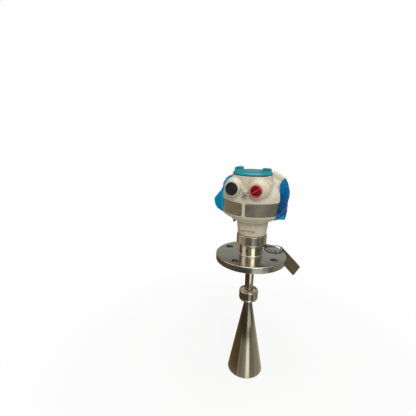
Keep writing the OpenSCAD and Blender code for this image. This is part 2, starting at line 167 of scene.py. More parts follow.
def lathe(name, profile, around=(0, 0), closed=False, steps=160):
    """The profile goes round the vertical line through a point: x and y are that point plus the
    radius times the turn's cosine and sine."""
    turn = np.linspace(0, 2 * np.pi, steps, endpoint=False)
    r, z = profile[:, 0], profile[:, 1]
    x = around[0] + r[:, None] * np.cos(turn)
    y = around[1] + r[:, None] * np.sin(turn)
    points = np.stack([x, y, np.repeat(z[:, None], steps, 1)], -1).reshape(-1, 3)
    return close_up(build_mesh(name, points, grid_quads(len(r), steps, closed, True)))


def to_front(piece, x, z):
    """Turns a piece made along +Z so that it points to the front, -Y, from (x, 0, z)."""
    piece.data.transform(Matrix.Translation((x * MM, 0, z * MM)) @ Matrix.Rotation(math.pi / 2, 4, "X"))
    return piece


# %% [markdown]
# ## Cast parts
# A casting has no sharp inside corner: walls run into each other with fillets. Such a form is
# easy to describe as a distance field, a formula that says how far any point is from the surface,
# negative inside. Two fields join with a fillet by a smooth minimum. The surface is then found on
# a grid of small cubes, moved onto the exact zero of the field, and shaded with the field's slope.

# %% Distance fields
def joined(a, b, fillet):
    """Union with a fillet: the lower field, less a parabola where the two are nearly equal."""
    near = np.maximum(fillet - np.abs(a - b), 0) / fillet
    return np.minimum(a, b) - near * near * fillet / 4


def overlap(a, b, rounding):
    """What two fields share, with a rounded edge."""
    return -joined(-a, -b, rounding)


def cut(a, b, rounding):
    """Field a without field b, with a rounded edge."""
    return -joined(-a, b, rounding)


def block(x, y, z, low, high, rounding):
    """A box between two corners: the largest of the distances past its sides, rounded."""
    middle = [(p + q) / 2 for p, q in zip(low, high)]
    half = [(q - p) / 2 - rounding for p, q in zip(low, high)]
    away = [np.abs(v - m) - h for v, m, h in zip((x, y, z), middle, half)]
    outside = np.sqrt(sum(np.maximum(d, 0) ** 2 for d in away))
    inside = np.minimum(np.maximum(np.maximum(away[0], away[1]), away[2]), 0)
    return outside + inside - rounding


def profile_field(outline, cell=0.4):
    """A turned outline as a field: distances to the closed outline's edges are tabled on a fine
    grid of radius and height once, and read between its nodes after that."""
    outline = np.asarray(outline, float)
    low = outline.min(0) - 60
    high = outline.max(0) + 60
    low[0] = 0
    r, z = np.meshgrid(np.arange(low[0], high[0], cell), np.arange(low[1], high[1], cell), indexing="ij")
    best = np.full(r.shape, 1e9)
    inside = np.zeros(r.shape, bool)
    for (r0, z0), (r1, z1) in zip(outline, np.roll(outline, -1, axis=0)):
        dr, dz = r1 - r0, z1 - z0
        along = np.clip(((r - r0) * dr + (z - z0) * dz) / (dr * dr + dz * dz + 1e-12), 0, 1)
        on_axis = r0 == 0 and r1 == 0
        if not on_axis:
            best = np.minimum(best, (r - r0 - along * dr) ** 2 + (z - z0 - along * dz) ** 2)
        if dz:
            inside ^= ((z0 > z) != (z1 > z)) & (r < r0 + dr * (z - z0) / dz)
    table = np.where(inside, -1, 1) * np.sqrt(best)

    def read(radius, height):
        """Four nearest nodes of the table, weighted by how close they are."""
        u = np.clip((radius - low[0]) / cell, 0, table.shape[0] - 1.001)
        v = np.clip((height - low[1]) / cell, 0, table.shape[1] - 1.001)
        i, j = u.astype(int), v.astype(int)
        fu, fv = u - i, v - j
        upper = table[i, j] * (1 - fv) + table[i, j + 1] * fv
        lower = table[i + 1, j] * (1 - fv) + table[i + 1, j + 1] * fv
        return upper * (1 - fu) + lower * fu

    return read


def slope_of(field, points):
    """The field's rate of change along x, y and z, from two points a little apart on each."""
    h = 0.12
    out = []
    for axis in range(3):
        step = np.zeros(3)
        step[axis] = h
        out.append((field(*(points + step).T) - field(*(points - step).T)) / (2 * h))
    return np.stack(out, -1)


def surface(name, field, low, high, step):
    """The surface where a field is zero. Each cube of the grid that the surface crosses gets one
    point, the mean of the crossings on its edges, and each crossed grid line gets one face
    between the four cubes round it. Then points move along the slope onto the exact zero. The
    mark "hollow" says how closed in each point is: one, less the field at a reach outwards over
    that reach."""
    axes = [np.arange(a, b + step, step) for a, b in zip(low, high)]
    values = field(*np.meshgrid(*axes, indexing="ij")).astype(np.float32)
    solid = values < 0
    corners = np.array([(i, j, k) for i in (0, 1) for j in (0, 1) for k in (0, 1)])
    size = np.array(values.shape) - 1
    filled = sum(solid[i:size[0] + i, j:size[1] + j, k:size[2] + k].astype(np.int8) for i, j, k in corners)
    cells = np.argwhere((filled > 0) & (filled < 8))
    at = [values[tuple((cells + c).T)] for c in corners]
    total = np.zeros((len(cells), 3))
    count = np.zeros(len(cells))
    for a in range(8):
        for b in range(a + 1, 8):
            if np.abs(corners[a] - corners[b]).sum() != 1:
                continue
            crossed = (at[a] < 0) != (at[b] < 0)
            share = np.where(crossed, at[a] / np.where(crossed, at[a] - at[b], 1), 0)
            total += crossed[:, None] * (corners[a] + share[:, None] * (corners[b] - corners[a]))
            count += crossed
    points = np.array(low) + (cells + total / count[:, None]) * step
    number = np.full(size, -1)
    number[tuple(cells.T)] = np.arange(len(cells))
    quads = []
    for axis in range(3):
        one, two = (axis + 1) % 3, (axis + 2) % 3
        first = [slice(1, -1)] * 3
        first[axis] = slice(0, -1)
        second = list(first)
        second[axis] = slice(1, None)
        start = solid[tuple(first)]
        edges = np.argwhere(start != solid[tuple(second)])
        outward = start[tuple(edges.T)]
        offset = np.array([int(k != axis) for k in range(3)])
        edges = edges + offset
        step_one, step_two = np.eye(3, dtype=int)[one], np.eye(3, dtype=int)[two]
        ring = [edges - step_one - step_two, edges - step_two, edges, edges - step_one]
        faces = np.stack([number[tuple(c.T)] for c in ring], -1)
        quads.append(np.where(outward[:, None], faces, faces[:, ::-1]))
    quads = np.concatenate(quads)
    for _ in range(3):
        slope = slope_of(field, points)
        steep = np.maximum((slope ** 2).sum(1), 0.05)
        move = (field(*points.T) / steep)[:, None] * slope
        length = np.linalg.norm(move, axis=1, keepdims=True)
        points -= move * np.minimum(1, 0.5 * step / np.maximum(length, 1e-9))
    slope = slope_of(field, points)
    normals = slope / np.maximum(np.linalg.norm(slope, axis=1, keepdims=True), 1e-9)
    print(f"{name}: {2 * len(quads)} triangles")
    piece = build_mesh(name, points, quads, normals)
    reach = min(9, 9 * step)
    hollow = np.clip(1 - field(*(points + reach * normals).T) / reach, 0, 1)
    mark_points(piece, "hollow", hollow)
    return piece


def arc(centre_r, centre_z, radius, start, end, steps=14):
    """Points on a circle, from one angle to another in degrees, counted from the r direction."""
    angle = np.radians(np.linspace(start, end, steps))
    return np.stack([centre_r + radius * np.cos(angle), centre_z + radius * np.sin(angle)], -1)


# %% [markdown]
# ## Finishes
# Each finish is a small node tree. Colours are written as the eye sees them and one function makes
# them linear. Patterns read Object coordinates, which here are metres on the real object, so that a
# pattern's scale can be given as a size in millimetres.

# %% Node helpers
def linear(code):
    """A colour such as C8BEA8 as linear light: each channel goes through the display curve."""
    parts = [int(code[i:i + 2], 16) / 255 for i in (0, 2, 4)]
    return [c / 12.92 if c <= 0.04045 else ((c + 0.055) / 1.055) ** 2.4 for c in parts] + [1.0]


def add(tree, kind, inputs=None, **settings):
    """A node with its settings, and a value or a link for each named input."""
    node = tree.nodes.new(kind)
    for key, value in settings.items():
        setattr(node, key, value)
    for key, value in (inputs or {}).items():
        socket = node.inputs[key]
        if isinstance(value, bpy.types.NodeSocket):
            tree.links.new(value, socket)
        else:
            socket.default_value = value
    return node


def new_finish(name, **values):
    """A material with a Principled shader; values are its sockets, with _ for a space."""
    material = bpy.data.materials.new(name)
    material.use_nodes = True
    shader = material.node_tree.nodes["Principled BSDF"]
    for key, value in values.items():
        shader.inputs[key.replace("_", " ")].default_value = value
    return material, material.node_tree, shader


def place(tree):
    """Object coordinates, in metres on the real object."""
    return add(tree, "ShaderNodeTexCoord").outputs["Object"]


def noise(tree, where, size_mm, detail=3.0, kind="3D", roughness=0.5):
    """Soft random blotches of about a size in millimetres, from 0 to 1."""
    key = "W" if kind == "1D" else "Vector"
    inputs = {key: where, "Scale": 1000.0 / size_mm, "Detail": detail, "Roughness": roughness}
    return add(tree, "ShaderNodeTexNoise", inputs, noise_dimensions=kind).outputs["Fac"]


def ramp(tree, value, stops):
    """A colour from a value: stops are (place from 0 to 1, colour code)."""
    node = add(tree, "ShaderNodeValToRGB", {"Fac": value})
    while len(node.color_ramp.elements) < len(stops):
        node.color_ramp.elements.new(0.5)
    for element, (at, code) in zip(node.color_ramp.elements, stops):
        element.position = at
        element.color = linear(code)
    return node.outputs["Color"]


def two_tones(tree, value, codes):
    """A value laid out between two near colours."""
    return ramp(tree, value, [(0.3, codes[0]), (0.7, codes[1])])


def mix(tree, factor, a, b):
    """The first colour where the factor is 0, the second where it is 1."""
    inputs = {"Factor": factor, "A": a, "B": b}
    return add(tree, "ShaderNodeMix", inputs, data_type="RGBA").outputs["Result"]


def spread(tree, value, low, high):
    """A value from 0 to 1 laid out between two numbers."""
    return add(tree, "ShaderNodeMapRange", {"Value": value, "To Min": low, "To Max": high}).outputs["Result"]


def shade_hollows(tree, shader, colour, amount, code):
    """Base colour that goes over to a darker colour where the attribute "hollow" is high: painted shade in
    the hollows.
    """
    hollow = add(tree, "ShaderNodeAttribute", attribute_name="hollow").outputs["Fac"]
    factor = combine(tree, hollow, amount, "MULTIPLY")
    tree.links.new(mix(tree, factor, colour, linear(code)), shader.inputs["Base Color"])


def bump(tree, shader, height, depth_mm, strength=1.0):
    """Small relief: the surface seems to rise by a depth in millimetres."""
    node = add(tree, "ShaderNodeBump", {"Height": height, "Distance": depth_mm * MM, "Strength": strength})
    tree.links.new(node.outputs["Normal"], shader.inputs["Normal"])


def combine(tree, a, b, operation="ADD"):
    """Two values joined by a sum, product or other operation."""
    return add(tree, "ShaderNodeMath", {0: a, 1: b}, operation=operation).outputs["Value"]


def weighed(tree, a, share_a, b, share_b):
    """The sum of two values, each times its share."""
    return combine(tree, combine(tree, a, share_a, "MULTIPLY"), combine(tree, b, share_b, "MULTIPLY"))


# %% [markdown]
# ### Paint
# The head is an aluminium casting with a cream powder coat: baked powder flows into a fine orange
# peel, over the casting's own broad unevenness. The lid has the same coat in teal. Colour drifts a
# little, grime dulls it in patches, and where the attribute "hollow" is high it darkens as painted
# shade.

# %% Powder coats
# Painted shade: the coats darken to this grey-brown where the mark "hollow" is high.
HOLLOW_SHADE_TONE = "7A7262"


def powder_coat(name, codes, roughness, peel_mm, grime, shade_amount):
    """Baked powder over cast metal: three near colours, orange peel, patches that grime makes
    duller, and painted shade in the hollows."""
    material, tree, shader = new_finish(name, Coat_Weight=0.1, Coat_Roughness=0.25, Specular_IOR_Level=0.35)
    where = place(tree)
    broad = noise(tree, where, 34, 4)
    coat = ramp(tree, broad, [(0.25, codes[0]), (0.5, codes[1]), (0.75, codes[2])])
    shade_hollows(tree, shader, coat, spread(tree, broad, 0.6 * shade_amount, shade_amount), HOLLOW_SHADE_TONE)
    dull = noise(tree, where, 11, 5, roughness=0.6)
    tree.links.new(spread(tree, dull, roughness - grime, roughness + grime), shader.inputs["Roughness"])
    peel = noise(tree, where, peel_mm, 2)
    cast = noise(tree, where, 9, 3)
    bump(tree, shader, weighed(tree, peel, 0.35, cast, 0.65), 0.5, 0.5)
    return material


cream_coat = powder_coat("cream powder coat on cast aluminium", ["C2B8A0", "CBC2AC", "D2C9B4"],
                         0.42, 1.6, 0.1, 0.9)
teal_coat = powder_coat("teal powder coat on cast aluminium", ["006C74", "007D86", "009199"],
                        0.3, 1.4, 0.1, 0.1)

# %% [markdown]
# ### Stainless steel
# The same steel has three finishes here. The neck and hub are polished on the lathe and mirror
# their surroundings in sharp bands. The horn is brushed along its length, which blurs the bands
# sideways. The flange is faced, which leaves fine rings.

# %% Steels
# Painted shade: steel darkens to this near black where the mark "hollow" is high, as in the earth screw's
# slots.
STEEL_HOLLOW_SHADE = "0C0B0A"


def steel(name, codes, roughness, mark, mark_mm, depth_mm):
    """Stainless steel whose tool marks run round the axis (height), along it (turn) or as rings.
    Where the mark "hollow" is high it darkens as painted shade.
    """
    material, tree, shader = new_finish(name, Metallic=1.0)
    where = place(tree)
    apart = add(tree, "ShaderNodeSeparateXYZ", {"Vector": where})
    flat = add(tree, "ShaderNodeCombineXYZ", {"X": apart.outputs["X"], "Y": apart.outputs["Y"]})
    flat = flat.outputs["Vector"]
    if mark == "height":
        lines = noise(tree, apart.outputs["Z"], mark_mm, 3, "1D")
    elif mark == "rings":
        radius = add(tree, "ShaderNodeVectorMath", {0: flat}, operation="LENGTH").outputs["Value"]
        lines = noise(tree, radius, mark_mm, 4, "1D")
    else:
        turn = add(tree, "ShaderNodeVectorMath", {0: flat}, operation="NORMALIZE").outputs["Vector"]
        lines = add(tree, "ShaderNodeTexNoise", {"Vector": turn, "Scale": mark_mm, "Detail": 5.0})
        lines = lines.outputs["Fac"]
    cloud = noise(tree, where, 26, 4)
    colour = two_tones(tree, lines if mark == "turn" else cloud, codes)
    shade_hollows(tree, shader, colour, 2.0, STEEL_HOLLOW_SHADE)
    worn = weighed(tree, cloud, 0.5, lines, 0.5)
    tree.links.new(spread(tree, worn, roughness * 0.6, roughness * 1.4), shader.inputs["Roughness"])
    bump(tree, shader, lines, depth_mm, 0.35)
    return material


polished = steel("stainless steel, lathe polished", ["C9C5BA", "D6D2C8"], 0.08, "height", 1.2, 0.004)
brushed = steel("stainless steel, brushed along the cone", ["96938A", "C2BFB4"], 0.15, "turn", 26.0, 0.012)
faced = steel("stainless steel, faced flange", ["B6B6B2", "C4C4C0"], 0.17, "rings", 1.6, 0.008)
bright = steel("zinc plated steel", ["C4C5C7", "E6E7E8"], 0.14, "height", 0.8, 0.004)
drawn = steel("drawn steel wire", ["5C5A54", "6E6C66"], 0.3, "height", 0.8, 0.004)
blackened = steel("blackened steel screw", ["1C1A18", "2A2724"], 0.35, "height", 0.8, 0.004)

# %% [markdown]
# ### Plates and tag
# The nameplates are thin etched steel, darker than the bare metal, with a fine brushed grain. The
# real plates carry print; here they hold only plain ruled lines of no meaning. The tag is a dull
# stamped sheet.

# %% Plates
def plate_finish(name, codes, roughness, ruled, metal):
    """Dull sheet steel with a long grain, and faint ruled lines where ruled gives their gap."""
    material, tree, shader = new_finish(name, Metallic=metal)
    where = place(tree)
    apart = add(tree, "ShaderNodeSeparateXYZ", {"Vector": where})
    grain = noise(tree, apart.outputs["Z"], 0.7, 3, "1D")
    cloud = noise(tree, where, 14, 4)
    colour = two_tones(tree, weighed(tree, cloud, 0.7, grain, 0.3), codes)
    if ruled:
        pattern = add(tree, "ShaderNodeUVMap").outputs["UV"]
        lines = add(tree, "ShaderNodeSeparateXYZ", {"Vector": pattern})
        row = combine(tree, lines.outputs["Y"], float(ruled), "MULTIPLY")
        saw = add(tree, "ShaderNodeMath", {0: row}, operation="FRACT").outputs["Value"]
        thin = combine(tree, saw, 0.16, "LESS_THAN")
        from_left = combine(tree, lines.outputs["X"], 0.08, "GREATER_THAN")
        to_right = combine(tree, lines.outputs["X"], 0.62, "LESS_THAN")
        drawn_line = combine(tree, combine(tree, from_left, to_right, "MULTIPLY"), thin, "MULTIPLY")
        colour = mix(tree, combine(tree, drawn_line, 0.35, "MULTIPLY"), colour, linear("B9B5A8"))
    tree.links.new(colour, shader.inputs["Base Color"])
    tree.links.new(spread(tree, cloud, roughness * 0.8, roughness * 1.25), shader.inputs["Roughness"])
    bump(tree, shader, grain, 0.01, 0.3)
    return material


etched = plate_finish("etched steel nameplate", ["726F66", "8A877D"], 0.38, 11, 0.85)
stamped = plate_finish("stamped steel tag", ["665E4C", "7A715E"], 0.42, 0, 0.5)

# %% [markdown]
# ### Plastics, rubber and film
# The left entry has a black moulded cap, the right one a glossy red transport plug, its dish
# darkened by painted shade. The film that protects the head is thin blue polyethylene: most light
# passes and turns blue, so that the plate under it still shows, and a share that grows along the
# creases is scattered back. Along the creases a paler blue is a painted highlight.

# %% Plastics
# Painted shade: the red plug's dish darkens to this deep red.
RED_HOLLOW_SHADE = "3A0508"


def moulded(name, codes, roughness, grain_mm, depth_mm, **values):
    """Moulded plastic: two near colours and a fine grain from the mould. Only the red plug has
    the mark "hollow", so its dish alone darkens to the deep red: painted shade."""
    material, tree, shader = new_finish(name, **values)
    where = place(tree)
    cloud = noise(tree, where, 8, 3)
    shade_hollows(tree, shader, two_tones(tree, cloud, codes), 1.0, RED_HOLLOW_SHADE)
    tree.links.new(spread(tree, cloud, roughness * 0.75, roughness * 1.3), shader.inputs["Roughness"])
    bump(tree, shader, noise(tree, where, grain_mm, 3), depth_mm, 0.5)
    return material


black_moulding = moulded("black moulded polyamide", ["0B0C0C", "151717"], 0.38, 0.6, 0.05,
                         Specular_IOR_Level=0.36)
red_moulding = moulded("red moulded polyethylene", ["B80F22", "CA1A32"], 0.26, 0.9, 0.03, Coat_Weight=0.15)
green_moulding = moulded("green moulded terminal plastic", ["3D7A55", "468560"], 0.4, 0.6, 0.03)
seal_rubber = moulded("black nitrile rubber", ["121212", "1B1B1B"], 0.6, 0.5, 0.03)
white_ptfe = moulded("white fluoropolymer", ["E9E8E2", "F1F0EB"], 0.4, 1.5, 0.03, Subsurface_Weight=0.1)
module_brass = steel("machined brass", ["B8934A", "C7A25A"], 0.25, "height", 0.8, 0.01)

blue_film, tree, shader = new_finish("blue polyethylene film", Roughness=0.3, Specular_IOR_Level=0.25)
where = place(tree)
folds = noise(tree, where, 26, 3)
crease = add(tree, "ShaderNodeAttribute", attribute_name="crease").outputs["Fac"]
tone = ramp(tree, folds, [(0.35, "0564B0"), (0.55, "0A80C8"), (0.7, "189AD8")])
# Painted highlight: where the mark "crease" is high the blue goes over to a pale blue.
tree.links.new(mix(tree, crease, tone, linear("86A4D8")), shader.inputs["Base Color"])
crumple = combine(tree, noise(tree, where, 9, 4), combine(tree, crease, 0.6, "MULTIPLY"))
bump(tree, shader, crumple, 0.6, 0.7)
doubled = add(tree, "ShaderNodeAttribute", attribute_name="doubled").outputs["Fac"]
tint = mix(tree, doubled, linear("00D0EC"), linear("04BED2"))
through = add(tree, "ShaderNodeBsdfTransparent", {"Color": tint})
solid_part = combine(tree, spread(tree, folds, 0.14, 0.4), combine(tree, crease, 0.25, "MULTIPLY"))
sheer = add(tree, "ShaderNodeMixShader",
            {0: solid_part, 1: through.outputs["BSDF"], 2: shader.outputs["BSDF"]})
tree.links.new(sheer.outputs["Shader"], tree.nodes["Material Output"].inputs["Surface"])
print(len(bpy.data.materials), "materials")

# %% [markdown]
# ## Cast head housing
# The housing is one aluminium casting: a neck that flares into a round belly, a domed shoulder, two
# cable entries, the collar for the lid and a higher compartment behind it. Every joint between
# these forms has a fillet, so it is made as one distance field in the CAD's measures. FACE is how
# far in front of the axis the entries end.

# %% Casting
LID_Y = -17
ENTRY_X = 26.6
ENTRY_Z = 182.6
FACE = 72
EARTH_X, EARTH_Z = 3.4, 171.3
BELLY_R = 70
BAND_LOW, BAND_HIGH, BAND_DEPTH = 125, 153, 1.4
BAND_BAR, BAND_END = 3.4, math.radians(100)
LOCK_AT = (-37.8, -18.4)
REAR_Y, REAR_R = 10, 71
# Bores round the lid's axis: radius, height of the floor, rounding inside and at the mouth.
LID_BORES = [(45.3, 209.1, 1, 1.2), (37, 128, 1.2, 1), (39.1, 193.2, 1, 1), (42, 206.8, 1, 1)]

edge_r, edge_z = 12, 127
shoulder_r, shoulder_z = 32, 160
pot = profile_field(np.vstack([
    [[0, 58], [33, 58], [33, 70], [36.6, 100.4]],
    arc(BELLY_R - edge_r, edge_z, edge_r, -58.5, 0),
    arc(BELLY_R - shoulder_r, shoulder_z, shoulder_r, 0, 90),
    [[0, shoulder_z + shoulder_r]]]))
rear = profile_field(np.vstack([
    [[0, edge_z], [REAR_R, edge_z]], arc(REAR_R - 34, 178.5, 34, 0, 90), [[0, 212.5]]]))
boss = profile_field(np.array([
    [0, 20], [23, 20], [23, 53], [21.5, 59], [18.2, 65], [17.5, 69.4], [17.1, 71.2], [15.6, FACE],
    [0, FACE]]))
hollow = profile_field(np.vstack([
    [[0, 128], [64, 128]], arc(38, 160, 26, 0, 90), [[0, 186]]]))


def casting(x, y, z):
    """The housing: outer forms joined with fillets, less its bores, seats, band and hollow."""
    r = np.hypot(x, y)
    lid_r = np.hypot(x, y - LID_Y)
    body = overlap(pot(r, z), 68.5 - z, 2.5)
    slant = math.radians(18)
    front_wall = (18 - y) * math.cos(slant) + (z - 160) * math.sin(slant)
    back = overlap(rear(np.hypot(x, y - REAR_Y), z), front_wall, 7)
    body = joined(body, back, 9)
    collar = overlap(overlap(lid_r - 44.6, z - 209.1, 1.2), 160 - z, 1)
    body = joined(body, collar, 7)
    left, right = (boss(np.hypot(x + side * ENTRY_X, z - ENTRY_Z), -y) for side in (1, -1))
    body = joined(body, joined(left, right, 5), 3.5)
    earth = overlap(np.hypot(x - EARTH_X, z - EARTH_Z) - 7, -y - 71, 1.5)
    earth = overlap(earth, y + 30, 1)
    body = joined(body, earth, 3)
    body = joined(body, block(x, y, z, (EARTH_X - 5.5, -72, 177.8), (EARTH_X + 5.5, -55, 180), 0.9), 1.5)
    body = joined(body, block(x, y, z, (-18, -37.2, 84), (18, -20, 106), 1.2), 1.6)
    lock_r = np.hypot(x - LOCK_AT[0], y - LOCK_AT[1])
    body = joined(body, overlap(overlap(lock_r - 4.6, 100.4 - z, 1), z - 114, 1), 2)
    body = joined(body, overlap(overlap(r - 27.8, 57 - z, 0.8), z - 75, 1), 0.8)
    across = overlap(np.abs(z - (BAND_LOW + BAND_HIGH) / 2) - (BAND_HIGH - BAND_LOW) / 2,
                     BAND_BAR - np.abs(x), 5)
    ends = np.abs(x) * math.cos(BAND_END) + y * math.sin(BAND_END)
    band = overlap(overlap(across, ends, 4), BELLY_R - BAND_DEPTH - r, 0.6)
    body = cut(body, band, 1.3)
    for bore_r, bore_floor, corner, mouth in LID_BORES:
        body = cut(body, overlap(lid_r - bore_r, bore_floor - z, corner), mouth)
    for side in (-1, 1):
        bore = overlap(np.hypot(x - side * ENTRY_X, z - ENTRY_Z) - 10.05, y + 24, 1)
        body = cut(body, bore, 0.8)
    room = overlap(hollow(r, z), -41 - y, 5)
    body = cut(body, room, 2)
    body = cut(body, overlap(overlap(r - 21, z - 126, 1), 50 - z, 1), 2)
    body = cut(body, np.hypot(r - 27, z - 61.2) - 1.6, 0.8)
    return body


housing = surface("cast_housing", casting, (-80, -76, 55), (80, 84, 216), 1.42)
housing.data.materials.append(cream_coat)
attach(housing, "head")
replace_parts(housing, "head_casting")

# %% [markdown]
# ## Screw lid
# The lid is a second casting. Its flange overhangs the collar, two lugs take a bar to unscrew it,
# and a pip stands on one lug. The plain stem below carries the thread.

# %% Lid
LID_UNDER, LID_R, STEM_R = 209.8, 43.2, 38.8
lid_outline = profile_field(np.array([
    [0, 195.2], [37.8, 195.2], [STEM_R, 196.4], [STEM_R, LID_UNDER], [42.7, LID_UNDER], [LID_R, 210.4],
    [LID_R, 212.4], [42.2, 213.8], [40, 215.6], [34, 216.3], [22.5, 216.7], [21.2, 217.4], [20, 217.4],
    [18.6, 216.9], [0, 216.9]]))


def lid_form(x, y, z):
    """The turned lid with a lug at each side, rounded at its outer top corner."""
    y = y - LID_Y
    form = lid_outline(np.hypot(x, y), z)
    lugs = block(np.abs(x), y, z, (22.5, -6, 200), (41, 6, 223.8), 1.4)
    corner = np.hypot(np.maximum(np.abs(x) - 35, 0), np.maximum(z - 217.8, 0)) - 6
    lugs = overlap(lugs, corner, 1)
    lugs = overlap(lugs, 207 - z, 1)
    form = joined(form, lugs, 2.2)
    pip = overlap(np.hypot(x + 28.5, y) - 2.6, z - 225.4, 1.2)
    form = joined(form, overlap(pip, 216 - z, 1), 1.5)
    return cut(form, overlap(np.hypot(x, y) - 35, z - 211.4, 1.5), 1)


lid = surface("screw_lid_casting", lid_form, (-45, -62, 193), (45, 28, 228), 0.75)
lid.data.materials.append(teal_coat)
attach(lid, "lid")
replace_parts(lid, "screw_lid")

# %% [markdown]
# ## Plugs in the cable entries
# The black cap is a turned form with rings on its face. The red plug is a shallow dish with a grip
# bar across it, which no lathe can make, so it is a distance field again.

# %% Plugs
cap_profile = rounded([
    (0, FACE, 0), (7.5, FACE, 0.3), (7.5, FACE - 14, 0.3), (9.9, FACE - 14, 0.5), (9.9, FACE, 0.1),
    (13.5, FACE, 0.3),
    (13.5, FACE + 3.6, 0.9), (10.9, FACE + 3.6, 0.3), (10.5, FACE + 2.7, 0.3), (8.6, FACE + 2.7, 0.3),
    (8.2, FACE + 3.4, 0.3), (6.6, FACE + 3.4, 0.3), (6.2, FACE + 2.7, 0.3), (4.4, FACE + 2.7, 0.3),
    (4.0, FACE + 3.3, 0.3), (0, FACE + 3.3, 0)])
cap = to_front(lathe("entry_cap", cap_profile), -ENTRY_X, ENTRY_Z)
cap.data.materials.append(black_moulding)
even_shading(cap)
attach(cap, "left_cap")
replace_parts(cap, "entry_cap_left")


def plug_form(x, y, z):
    """Deep dish with a grip bar across it, on a stem; z points out of the entry."""
    r = np.hypot(x, y)
    head = overlap(overlap(r - 12.8, z - (FACE + 5), 1.4), FACE + 1.05 - z, 0.6)
    turn = math.radians(36)
    side = np.abs(y * math.cos(turn) - x * math.sin(turn)) - 1.5
    dish = overlap(r - 8.6 - 0.6 * np.clip(z - FACE - 2, 0, 3), FACE - 4 - z, 0.8)
    dish = cut(dish, side, 0.8)
    head = cut(head, dish, 0.8)
    stem = overlap(overlap(r - 9.88, z - (FACE + 2), 0.5), FACE - 14 - z, 0.8)
    stem = cut(cut(stem, overlap(r - 7.6, z - (FACE - 6), 0.5), 0.6), dish, 0.6)
    return joined(head, stem, 0.5)


plug = to_front(surface("entry_plug", plug_form, (-14, -14, 56.5), (14, 14, 78.5), 0.45), ENTRY_X, ENTRY_Z)
plug.data.materials.append(red_moulding)
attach(plug, "right_plug")
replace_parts(plug, "entry_plug_right")

# %% [markdown]
# ## Earth screw
# A bright cheese-head screw with a cross slot clamps an earth lead against a washer.

# %% Earth screw
def screw_form(x, y, z):
    """Round head with two crossed slots, on its shank."""
    r = np.hypot(x, y)
    head = overlap(overlap(r - 5, z - 75.4, 0.9), 72 - z, 0.4)
    for turn in (math.radians(20), math.radians(110)):
        across = np.abs(y * math.cos(turn) - x * math.sin(turn)) - 0.55
        along = np.abs(x * math.cos(turn) + y * math.sin(turn)) - 3.6
        head = cut(head, overlap(overlap(across, along, 0.3), 74 - z, 0.3), 0.3)
    return joined(head, overlap(overlap(r - 2.4, z - 73, 0.4), 63 - z, 0.4), 0.4)


earth_screw = to_front(surface("earth_screw_head", screw_form, (-6, -6, 62), (6, 6, 76.5), 0.27),
                       EARTH_X, EARTH_Z)
earth_screw.data.materials.append(bright)
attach(earth_screw, "head")
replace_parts(earth_screw, "earth_screw")

# %% [markdown]
# ## Nameplates and their pins
# Two strips of sheet steel are bent round the belly and held by drive pins. Each is a grid of angle
# and height whose rows get shorter towards the top and bottom, so that its corners are round.

# %% Nameplates
PLATE_R = BELLY_R - BAND_DEPTH + 0.8
PLATE_START = math.asin((BAND_BAR + 0.5) / BELLY_R)
PLATE_END = BAND_END - PLATE_START
PLATE_MIDDLE_Z = (BAND_LOW + BAND_HIGH) / 2
PLATE_HALF_H = 13.5


def give_uv(piece, uv):
    """One pair of pattern coordinates for each point of the mesh."""
    layer = piece.data.uv_layers.new(name="pattern")
    corner = np.zeros(len(piece.data.loops), np.int32)
    piece.data.loops.foreach_get("vertex_index", corner)
    layer.data.foreach_set("uv", uv[corner].astype(np.float32).ravel())


def nameplate(name, side):
    """Rows go up by the sine of an even step; each row reaches as far as a corner circle of
    3 mm lets it, and its points lie at even arcs round the belly."""
    rows, columns, corner = 25, 90, 3.0
    half = PLATE_R * (PLATE_END - PLATE_START) / 2
    height = PLATE_HALF_H * np.sin(np.linspace(-np.pi / 2, np.pi / 2, rows))
    past = np.maximum(np.abs(height) - (PLATE_HALF_H - corner), 0)
    reach = half - corner + np.sqrt(np.maximum(corner ** 2 - past ** 2, 0))
    along = reach[:, None] * np.linspace(-1, 1, columns)
    angle = side * ((PLATE_START + PLATE_END) / 2 + along / PLATE_R)
    points = np.stack([PLATE_R * np.sin(angle), -PLATE_R * np.cos(angle),
                       PLATE_MIDDLE_Z + np.repeat(height[:, None], columns, 1)], -1).reshape(-1, 3)
    quads = grid_quads(rows, columns)
    plate = build_mesh(name, points, quads if side > 0 else quads[:, ::-1])
    across = np.repeat(height[:, None], columns, 1) / PLATE_HALF_H
    give_uv(plate, np.stack([side * along / half / 2 + 0.5, across / 2 + 0.5], -1).reshape(-1, 2))
    wall = plate.modifiers.new("sheet thickness", "SOLIDIFY")
    wall.thickness = 0.7 * MM
    wall.offset = -1
    plate.data.materials.append(etched)
    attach(plate, "head")
    return plate


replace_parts(nameplate("plate_left", -1), "nameplate_left")
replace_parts(nameplate("plate_right", 1), "nameplate_right")

pins = []
for side in (-1, 1):
    for angle in (6.2, 91.0):
        for height in (BAND_LOW + 3.4, BAND_HIGH - 3.4):
            dome = rounded([(0, -0.7, 0), (1.1, -0.7, 0.1), (1.1, 0, 0), (1.9, 0, 0.05), (1.9, 0.35, 0.3),
                            (1.2, 0.68, 0.3), (0, 0.7, 0)])
            pin = lathe("pin", dome, steps=24)
            out = Matrix.Rotation(side * math.radians(angle), 4, "Z") @ Matrix.Rotation(math.pi / 2, 4, "X")
            lift = Matrix.Translation((0, 0, height * MM))
            pin.data.transform(lift @ out @ Matrix.Translation((0, 0, PLATE_R * MM)))
            pins.append(pin)
drive_pins = even_shading(join("plate_drive_pins", pins))
drive_pins.data.materials.append(etched)
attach(drive_pins, "head")
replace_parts(drive_pins, "nameplate_pins")

# %% [markdown]
# ## Process neck and antenna
# The neck, the waveguide tube, the hub and the horn are all turned or spun about one axis, so each
# is a closed profile on the lathe, with small rounded edges that catch a line of light.

# %% Turned metal
def turned(name, node, finish, points, steps=192):
    """A closed turned profile that stands for one CAD node and rides on the base."""
    piece = even_shading(lathe(name, rounded(points + points[:1])[:-1], closed=True, steps=steps))
    piece.data.materials.append(finish)
    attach(piece, "base")
    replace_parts(piece, node)
    return piece


